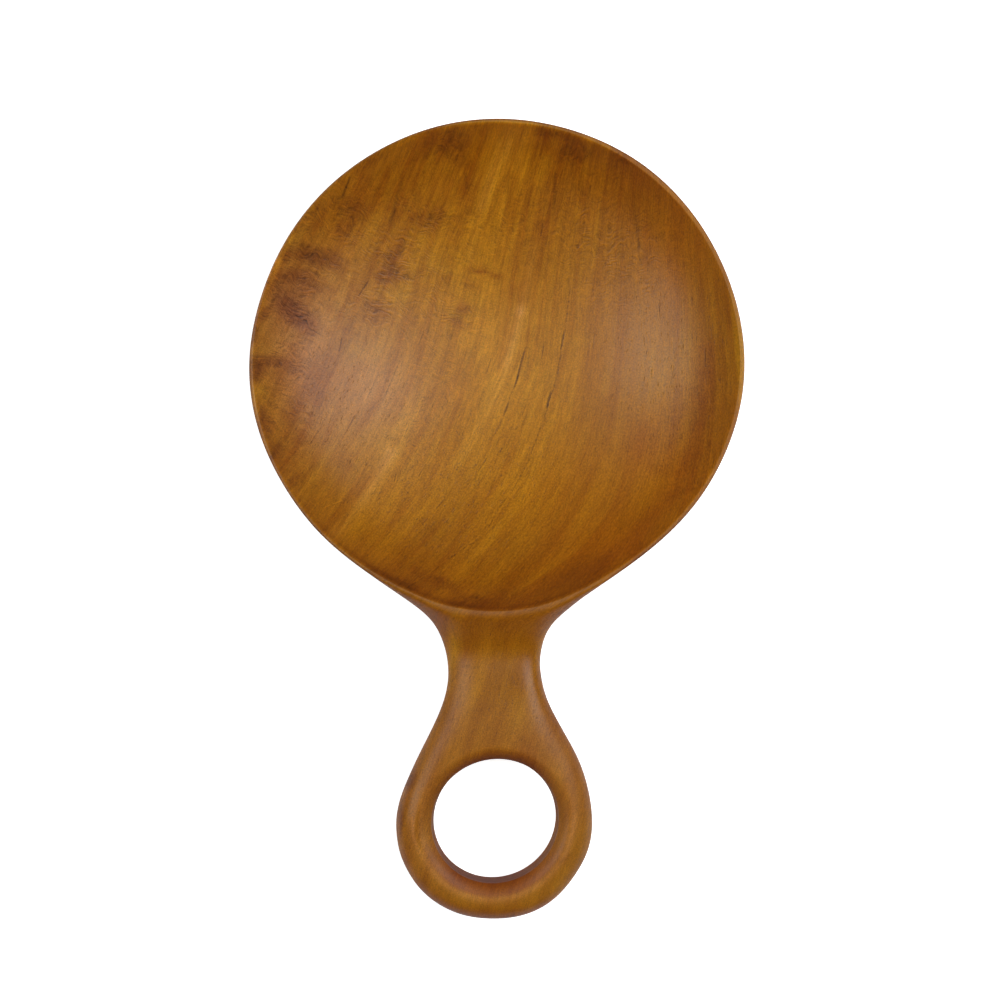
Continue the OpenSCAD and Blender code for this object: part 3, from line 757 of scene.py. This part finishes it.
curl = spots([(38, 34, 14, 14, 1.0), (-31, 33, 10, 9, 1.0), (-38, 16, 7, 5, 1.0), (-20, -5, 8, 8, 0.8), (-14, 16, 9, 7, 0.8),
              (-22, 46, 12, 8, 0.8), (-46, 46, 10, 8, 1.0), (20, 57, 14, 12, 0.6), (-27, -26, 8, 7, 0.5), (-62, 22, 9, 26, 0.8),
              (4, 42, 12, 9, 0.6), (8, -8, 14, 16, 0.35), (-64, -15, 8, 18, 0.6)])
mottle = spots([(-58, 28, 16, 16, 1.0), (-66, -6, 9, 22, 1.0), (62, -10, 5, 16, 0.8), (54, -36, 6, 8, 0.8), (-25, 50, 18, 14, 0.8), (-12, 28, 10, 12, 0.7),
                (-55, -30, 10, 12, 0.5), (24, 62, 14, 8, 0.4), (-38, 14, 10, 10, 0.4)]) * np.exp(-depth / 9.0)
# how lively the small figure is, and how open the pores are
lively = lerp(1.0, 0.5, smooth(10.0, 50.0, solid[:, 0] - 0.35 * solid[:, 1])) \
    + spots([(4, -2, 12, 20, 0.6), (0, 62, 24, 12, 0.8), (64, -8, 6, 20, 0.7)]) - 0.3 * spots([(0, -112, 40, 28, 1.0)])
open_pores = np.clip(0.3 + 0.7 * spots([(-42, -14, 18, 16, 1.0), (-25, -40, 18, 14, 0.8), (5, -35, 16, 14, 0.6), (63, -2, 5, 14, 1.0), (57, -28, 6, 12, 1.0),
                                        (-68, 10, 8, 24, 0.5), (0, -98, 16, 22, 0.9), (50, 8, 14, 26, 0.7), (-24, -140, 9, 16, 0.7)]), 0, 1)
polish = spots([(11, -96, 5, 7, 1.0), (-27, -140, 3, 9, 1.0), (27, -138, 4, 12, 0.6), (-11, -93, 4, 5, 0.2)]) \
    - 1.5 * spots([(0, -142, 34, 20, 1.0), (-15, -100, 5, 14, 0.6), (17, -116, 5, 10, 0.6)]) * (1 - spots([(11, -96, 6, 8, 1.0), (-27, -140, 4, 10, 1.0), (27, -138, 4, 12, 0.6)])) - wall
lip = smooth(-0.2, 0.2, past_lip) * (1 - smooth(2.4, 3.6, past_lip)) * np.exp(-depth / 0.8)

mesh = bpy.data.meshes.new("scoop_wood")
mesh.vertices.add(len(solid))
mesh.vertices.foreach_set("co", (solid * 0.001).astype(np.float32).ravel())
mesh.loops.add(len(faces) * 3)
mesh.loops.foreach_set("vertex_index", faces.astype(np.int32).ravel())
mesh.polygons.add(len(faces))
mesh.polygons.foreach_set("loop_start", np.arange(0, len(faces) * 3, 3, dtype=np.int32))
mesh.update(calc_edges=True)
mesh.validate()
mesh.shade_smooth()


def carry(name, kind, values):
    layer = mesh.attributes.new(name, kind, "POINT")
    field = "value" if kind == "FLOAT" else "vector"
    layer.data.foreach_set(field, np.asarray(values, np.float32).ravel())


carry("grain", "FLOAT_VECTOR", np.column_stack([U, V, W]))
carry("tint", "FLOAT_VECTOR", tint)
carry("figure", "FLOAT_VECTOR", np.column_stack([curl, mottle, lip]))
carry("marks", "FLOAT_VECTOR", np.column_stack([smudge, lively, open_pores]))
carry("streaks", "FLOAT_VECTOR", np.column_stack([tan_s, rose_s, polish]))
carry("marked", "FLOAT_VECTOR", marked)

scoop = bpy.data.objects.new("scoop_carved", mesh)
bpy.context.scene.collection.objects.link(scoop)
print("scoop mesh", len(solid), "points", len(faces), "faces", "volume cm3",
      round(float(np.einsum("ij,ij->i", solid[faces[:, 0]], np.cross(solid[faces[:, 1]], solid[faces[:, 2]])).sum() / 6000), 2))


# ---------------------------------------------------------------------------
# Oiled wood
# ---------------------------------------------------------------------------
# Long vessels and the edge of a growth layer (golden on its left, red-brown on
# its right): places from one end to the other, half width, depth, how broken
VESSELS = [
    ([(9.5, 8), (7.3, 2), (6.2, -3.5), (4.5, -8), (3.5, -11), (1.5, -16.5), (-2, -23)], 0.30, 0.34, 0.0),
    ([(22.8, 26), (20.5, 8), (17.7, -6), (16.6, -9.5), (15, -15), (13.5, -19), (8.5, -32), (5.5, -37.5), (1, -43.5),
      (-3.5, -51.5), (-9, -55.5), (-14.5, -59.5), (-21, -64.5), (-27, -68)], 0.30, 0.38, 0.0),
    ([(0.3, -47.6), (-2.8, -50.8), (-8.3, -54.8), (-13.8, -58.8), (-20.4, -63.8), (-26.5, -67.3)], 0.30, -0.16, 0.20)]
LAYER = [(38.6, -31), (39, -34.5), (37.5, -39), (34, -45.5), (31.5, -49.5), (27.5, -54.5), (21.5, -59.5), (13.5, -65), (6.5, -69.5)]


class Nodes:
    """Short hand for building a node tree."""

    def __init__(self, tree):
        self.tree = tree

    def new(self, kind, inputs=None, **settings):
        n = self.tree.nodes.new(kind)
        for k, v in settings.items():
            setattr(n, k, v)
        for k, v in (inputs or {}).items():
            self.put(n.inputs[k], v)
        return n

    def put(self, socket, value):
        if isinstance(value, bpy.types.NodeSocket):
            self.tree.links.new(value, socket)
        else:
            socket.default_value = value

    def math(self, op, *values, clamp=False):
        n = self.tree.nodes.new("ShaderNodeMath")
        n.operation, n.use_clamp = op, clamp
        for i, v in enumerate(values):
            self.put(n.inputs[i], v)
        return n.outputs[0]

    def vec(self, op, *values):
        n = self.tree.nodes.new("ShaderNodeVectorMath")
        n.operation = op
        for i, v in enumerate(values):
            self.put(n.inputs[i], v)
        return n.outputs[0]

    def times(self, value, triple):
        """A number times three constants."""
        n = self.new("ShaderNodeCombineXYZ", {"X": value, "Y": value, "Z": value})
        return self.vec("MULTIPLY", n.outputs[0], triple)

    def exp3(self, vector):
        """The exponential of each of the three parts."""
        x, y, z = self.new("ShaderNodeSeparateXYZ", {"Vector": vector}).outputs
        return self.new("ShaderNodeCombineXYZ", {"X": self.math("EXPONENT", x), "Y": self.math("EXPONENT", y),
                                                 "Z": self.math("EXPONENT", z)}).outputs[0]

    def noise(self, vector, scale=1.0, detail=2.0, rough=0.5, distort=0.0):
        n = self.new("ShaderNodeTexNoise", {"Vector": vector, "Scale": scale, "Detail": detail,
                                            "Roughness": rough, "Distortion": distort})
        return n.outputs["Fac"]

    def range(self, value, a, b, c, d, kind="SMOOTHSTEP"):
        n = self.new("ShaderNodeMapRange", {"Value": value, "From Min": a, "From Max": b, "To Min": c, "To Max": d},
                     interpolation_type=kind)
        return n.outputs["Result"]

    def mix(self, fac, a, b):
        n = self.tree.nodes.new("ShaderNodeMix")
        n.data_type = "RGBA"
        self.put(n.inputs[0], fac)
        self.put(n.inputs[6], a)
        self.put(n.inputs[7], b)
        return n.outputs[2]


def wood():
    mat = bpy.data.materials.new("oiled_wood")
    mat.use_nodes = True
    tree = mat.node_tree
    tree.nodes.clear()
    k = Nodes(tree)
    out = k.new("ShaderNodeOutputMaterial")
    shader = k.new("ShaderNodeBsdfPrincipled")
    tree.links.new(shader.outputs[0], out.inputs[0])
    grain = k.new("ShaderNodeAttribute", attribute_name="grain").outputs["Vector"]
    tint_v = k.new("ShaderNodeAttribute", attribute_name="tint").outputs["Vector"]

    def scaled(a, b, c):
        return k.vec("MULTIPLY", grain, (a, b, c))

    def parts(name):
        return k.new("ShaderNodeSeparateXYZ", {"Vector": k.new("ShaderNodeAttribute", attribute_name=name).outputs["Vector"]}).outputs

    curl_m, mottle_m, lip_m = parts("figure")
    smudge_m, lively_m, pores_m = parts("marks")
    tan_m, rose_m, polish_m = parts("streaks")
    across, along, mark = parts("marked")
    raw_u, raw_v, raw_w = k.new("ShaderNodeSeparateXYZ", {"Vector": grain}).outputs
    # the fibres waver a little on their way
    sway = k.noise(scaled(1 / 26, 1 / 34, 1 / 26), 1.0, 1.0, 0.5)
    sway = k.math("MULTIPLY", k.math("SUBTRACT", sway, 0.5), 3.2)
    grain = k.vec("ADD", grain, k.new("ShaderNodeCombineXYZ", {"X": sway}).outputs[0])
    u, v, w = k.new("ShaderNodeSeparateXYZ", {"Vector": grain}).outputs

    def path(places):
        """u of a line through places, as a function of v."""
        spots_ = sorted((float(b), float(a)) for a, b in (grain_uv(np.float64(x), np.float64(y)) for x, y in places))
        v0, v1 = spots_[0][0], spots_[-1][0]
        low_u, high_u = min(q[1] for q in spots_) - 1.0, max(q[1] for q in spots_) + 1.0
        node = k.tree.nodes.new("ShaderNodeFloatCurve")
        curve = node.mapping.curves[0]
        spots_ = [((a - v0) / (v1 - v0), (b - low_u) / (high_u - low_u)) for a, b in spots_]
        curve.points[0].location, curve.points[1].location = spots_[0], spots_[-1]
        for q in spots_[1:-1]:
            curve.points.new(*q)
        node.mapping.update()
        k.put(node.inputs["Value"], k.math("DIVIDE", k.math("SUBTRACT", raw_v, v0), v1 - v0))
        return k.math("ADD", k.math("MULTIPLY", node.outputs[0], high_u - low_u), low_u), v0, v1

    # growth layers, wide bands, streaks and fibres, each much longer than wide
    broad = k.noise(scaled(1 / 15, 1 / 190, 1 / 15), 1.0, 2.0, 0.5)
    band = k.noise(scaled(1 / 5.0, 1 / 80, 1 / 5.0), 1.0, 2.0, 0.5)
    streak = k.noise(scaled(1 / 1.7, 1 / 26, 1 / 1.7), 1.0, 3.0, 0.6)
    cloud = k.noise(scaled(1 / 8.0, 1 / 11, 1 / 8.0), 1.0, 3.0, 0.6)
    fibre = k.noise(scaled(1 / 0.50, 1 / 3.2, 1 / 0.50), 1.0, 2.0, 0.6)
    # tone of the wood from dark red-brown (0) to pale gold (1)
    tone = k.math("ADD", k.range(broad, 0.28, 0.72, -0.22, 0.22, "LINEAR"), 0.5)
    tone = k.math("ADD", tone, k.range(band, 0.3, 0.7, -0.16, 0.16, "LINEAR"))
    tone = k.math("ADD", tone, k.range(streak, 0.25, 0.75, -0.15, 0.15, "LINEAR"))
    tone = k.math("ADD", tone, k.range(cloud, 0.3, 0.7, -0.10, 0.10, "LINEAR"))
    tone = k.math("ADD", 0.5, k.math("MULTIPLY", k.math("SUBTRACT", tone, 0.5), k.math("ADD", 0.45, k.math("MULTIPLY", lively_m, 0.55))))
    # mottled curl: short blotches that lie across the grain
    blot = k.noise(scaled(1 / 6.0, 1 / 3.2, 1 / 6.0), 1.0, 3.0, 0.6)
    blot = k.math("MULTIPLY", k.range(blot, 0.38, 0.72, -0.35, 1.0), mottle_m)
    tone = k.math("SUBTRACT", tone, k.math("MULTIPLY", blot, 0.16))
    tone = k.math("ADD", tone, k.math("MULTIPLY", tan_m, k.math("ADD", 0.4, k.math("MULTIPLY", streak, 1.2))))
    rose = k.math("MULTIPLY", rose_m, k.math("ADD", 0.4, k.math("MULTIPLY", streak, 1.2)))
    # long vessels, short marks
    drawn = None
    for i, (places, wide, dark, gaps) in enumerate(VESSELS):
        at, v0, v1 = path(places)
        off = k.math("ABSOLUTE", k.math("ADD", k.math("SUBTRACT", raw_u, at), k.math("MULTIPLY", k.math("SUBTRACT", fibre, 0.5), 0.9)))
        line = k.range(off, wide * 0.35, wide * 1.1, dark, 0.0)
        ends = k.math("MULTIPLY", k.range(raw_v, v0 - 1.5, v0 + 1.5, 0.0, 1.0), k.range(raw_v, v1 - 1.5, v1 + 1.5, 1.0, 0.0))
        run_v = k.new("ShaderNodeCombineXYZ", {"X": 3.7 * i, "Y": k.math("MULTIPLY", raw_v, 0.95)}).outputs[0]
        broken = k.range(k.noise(run_v, 1.0, 2.0, 0.7), 0.46 - gaps * 0.5, 0.60 - gaps, 0.34, 1.0)
        line = k.math("MULTIPLY", k.math("MULTIPLY", line, ends), broken)
        drawn = line if drawn is None else k.math("ADD", drawn, line)
    # each mark is dark with a painted highlight along one side, as if its edge caught the light
    ragged = k.math("ADD", across, k.math("MULTIPLY", k.math("SUBTRACT", fibre, 0.5), 0.8))
    line = k.math("SUBTRACT", k.range(k.math("ABSOLUTE", ragged), 0.35, 1.1, 1.0, 0.0),
                  k.range(k.math("ABSOLUTE", k.math("ADD", ragged, 1.9)), 0.3, 0.9, 0.35, 0.0))
    line = k.math("MULTIPLY", line, k.range(k.math("ABSOLUTE", along), 0.75, 1.05, 1.0, 0.0))
    drawn = k.math("ADD", drawn, k.math("MULTIPLY", line, mark))
    at, v0, v1 = path(LAYER)
    off = k.math("ADD", k.math("SUBTRACT", raw_u, at), k.math("MULTIPLY", k.math("SUBTRACT", streak, 0.5), 1.2))
    ends = k.math("MULTIPLY", k.range(raw_v, v0 - 6, v0 + 4, 0.0, 1.0), k.range(raw_v, v1 - 8, v1 + 3, 1.0, 0.0))
    beyond = k.math("MULTIPLY", k.range(off, -0.5, 0.6, 0.0, 1.0), k.range(off, 1.0, 10.0, 1.0, 0.0))
    rose = k.math("ADD", rose, k.math("MULTIPLY", k.math("MULTIPLY", beyond, ends), k.range(raw_v, -47.0, -33.0, 1.0, 0.35)))
    before = k.math("MULTIPLY", k.range(off, -0.6, 0.3, 1.0, 0.0), k.range(off, -9.0, -1.0, 0.0, 1.0))
    tone = k.math("ADD", tone, k.math("MULTIPLY", k.math("MULTIPLY", before, ends), 0.05))
    tone = k.math("MAXIMUM", k.math("MINIMUM", tone, 1.15), -0.3)
    base = k.mix(tone, (0.33, 0.088, 0.0003, 1), (0.67, 0.288, 0.006, 1))
    k.tree.nodes[-1].clamp_factor = False

    # smudges with frayed edges
    fray = k.noise(scaled(1 / 1.7, 1 / 1.3, 1 / 1.7), 1.0, 3.0, 0.65)
    g = k.math("MULTIPLY", smudge_m, k.math("ADD", 0.35, k.math("MULTIPLY", fray, 1.3)))
    g = k.math("MULTIPLY", g, k.range(g, 0.08, 0.50, 0.0, 1.0))

    # fine texture: specks, fibres, short wavy ripples across the grain, pores
    speck = k.noise(scaled(1 / 0.40, 1 / 0.44, 1 / 0.40), 1.0, 1.0, 0.5)
    strand = k.noise(scaled(1 / 0.9, 1 / 7.0, 1 / 0.9), 1.0, 1.0, 0.5)
    shade = k.math("ADD", 1.0, k.math("MULTIPLY", k.range(speck, 0.25, 0.75, -0.20, 0.20, "LINEAR"), k.math("ADD", 0.85, k.math("MULTIPLY", pores_m, 0.5))))
    shade = k.math("ADD", shade, k.range(fibre, 0.25, 0.75, -0.14, 0.14, "LINEAR"))
    shade = k.math("ADD", shade, k.math("MULTIPLY", k.range(strand, 0.25, 0.75, -0.10, 0.10, "LINEAR"), lively_m))
    wander = k.noise(scaled(1 / 7.5, 1 / 7.5, 1 / 7.5), 1.0, 2.0, 0.5)
    fan = k.math("ADD", v, k.math("MULTIPLY", k.math("SUBTRACT", wander, 0.5), 9.0))
    cross = k.noise(k.new("ShaderNodeCombineXYZ", {"X": k.math("DIVIDE", u, 3.2), "Y": k.math("DIVIDE", fan, 0.62),
                                                   "Z": k.math("DIVIDE", w, 3.2)}).outputs[0], 1.0, 1.5, 0.55)
    some = k.range(k.noise(scaled(1 / 4.0, 1 / 6.0, 1 / 4.0), 1.0, 1.0, 0.5), 0.35, 0.60, 0.35, 1.0)
    gate = k.math("ADD", k.math("MULTIPLY", curl_m, some), k.math("MULTIPLY", g, 1.0))
    ripple = k.math("MULTIPLY", k.range(cross, 0.25, 0.75, -0.30, 0.30, "LINEAR"), gate)
    shade = k.math("ADD", shade, ripple)
    pore = k.noise(scaled(1 / 0.35, 1 / 1.6, 1 / 0.35), 1.0, 0.0, 0.5)
    pores = k.math("MULTIPLY", k.range(pore, 0.70, 0.80, 0.0, 1.0), pores_m)
    shade = k.math("SUBTRACT", shade, k.math("MULTIPLY", pores, 0.35))
    shade = k.math("SUBTRACT", shade, drawn)
    # the lip is rubbed paler and duller
    worn = k.mix(k.math("MULTIPLY", lip_m, 0.12), base, (0.50, 0.215, 0.020, 1))
    veil = k.vec("ADD", k.times(rose, (-0.14, -0.30, -0.40)), k.vec("ADD", k.times(g, (-0.47, -0.62, -0.40)), k.times(tan_m, (0.0, 0.0, 2.2))))
    colour = k.vec("MULTIPLY", k.vec("MULTIPLY", worn, tint_v), k.exp3(veil))
    colour = k.vec("MULTIPLY", colour, k.new("ShaderNodeCombineXYZ", {"X": shade, "Y": shade, "Z": shade}).outputs[0])
    tree.links.new(colour, shader.inputs["Base Color"])
    rough = k.math("SUBTRACT", 0.35, k.math("MULTIPLY", polish_m, 0.09))
    rough = k.math("ADD", rough, k.math("MULTIPLY", fibre, 0.10))
    rough = k.math("ADD", rough, k.math("MULTIPLY", pores, 0.10))
    tree.links.new(rough, shader.inputs["Roughness"])
    height = k.math("SUBTRACT", k.math("ADD", k.math("MULTIPLY", fibre, 0.55), k.math("MULTIPLY", speck, 0.2)),
                    k.math("ADD", k.math("MULTIPLY", pores, 0.7), drawn))
    height = k.math("ADD", height, k.math("MULTIPLY", ripple, 2.0))
    bump = k.new("ShaderNodeBump", {"Strength": 0.35, "Distance": 0.0001, "Height": height})
    tree.links.new(bump.outputs[0], shader.inputs["Normal"])
    shader.inputs["IOR"].default_value = 1.5
    return mat


mesh.materials.append(wood())
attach(scoop, "root")
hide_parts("scoop")

# ---------------------------------------------------------------------------
# Floor, light and camera
# ---------------------------------------------------------------------------
floor_mesh = bpy.data.meshes.new("floor")
floor_mesh.from_pydata([(-9, -9, 0), (9, -9, 0), (9, 9, 0), (-9, 9, 0)], [], [(0, 1, 2, 3)])
floor = bpy.data.objects.new("floor", floor_mesh)
floor.location.z = -0.0002
bpy.context.scene.collection.objects.link(floor)
pale = bpy.data.materials.new("pale_floor")
pale.use_nodes = True
p = pale.node_tree.nodes["Principled BSDF"]
p.inputs["Base Color"].default_value = (0.75, 0.75, 0.75, 1)
p.inputs["Roughness"].default_value = 0.9
p.inputs["Specular IOR Level"].default_value = 0.0
p.inputs["Emission Color"].default_value = (1, 1, 1, 1)
p.inputs["Emission Strength"].default_value = 0.9
floor_mesh.materials.append(pale)
# the floor glows white, as on a light table, but doesn't light the wood from below
own_light = bpy.data.collections.new("floor_light")
own_light.objects.link(floor)
floor.light_linking.receiver_collection = own_light


def softbox(name, place, aim, width, height, radiance, colour=(1, 1, 1)):
    data = bpy.data.lights.new(name, "AREA")
    data.shape, data.size, data.size_y = "RECTANGLE", width, height
    data.energy = radiance * math.pi * width * height
    data.color = colour
    lamp = bpy.data.objects.new(name, data)
    lamp.location = place
    lamp.rotation_mode = "QUATERNION"
    lamp.rotation_quaternion = (Vector(aim) - Vector(place)).to_track_quat("-Z", "Y")
    bpy.context.scene.collection.objects.link(lamp)
    return lamp


MIDDLE = (0.0, -0.02, 0.02)
softbox("softbox_right", (0.61, 0.10, 0.86), MIDDLE, 0.56, 0.66, 4.1)
softbox("softbox_left", (-0.67, -0.02, 0.82), MIDDLE, 0.56, 0.40, 4.85)
softbox("softbox_over", (0.0, 0.08, 1.40), MIDDLE, 0.66, 0.46, 1.3)

world = bpy.data.worlds.new("studio")
bpy.context.scene.world = world
world.use_nodes = True
wt = world.node_tree
wt.nodes.clear()
k = Nodes(wt)
ray = k.new("ShaderNodeTexCoord").outputs["Generated"]
height = k.new("ShaderNodeSeparateXYZ", {"Vector": ray}).outputs["Z"]
level = k.range(height, 0.02, 0.20, 0.36, 0.012)
back = k.new("ShaderNodeBackground", {"Color": (1, 1, 1, 1), "Strength": level})
world_out = k.new("ShaderNodeOutputWorld")
wt.links.new(back.outputs[0], world_out.inputs[0])

camera_data = bpy.data.cameras.new("camera")
camera_data.sensor_width = 36.0
camera_data.sensor_fit = "HORIZONTAL"
camera_data.lens = 95.44
camera_data.clip_start, camera_data.clip_end = 0.05, 40.0
camera = bpy.data.objects.new("camera", camera_data)
camera.location = (-0.0000163, -0.0399414, 0.832)
camera.rotation_euler = (0.0, 0.0, math.radians(0.45))
bpy.context.scene.collection.objects.link(camera)
bpy.context.scene.camera = camera

view = bpy.context.scene.view_settings
view.view_transform, view.look, view.exposure, view.gamma = "Standard", "None", 0.0, 1.0
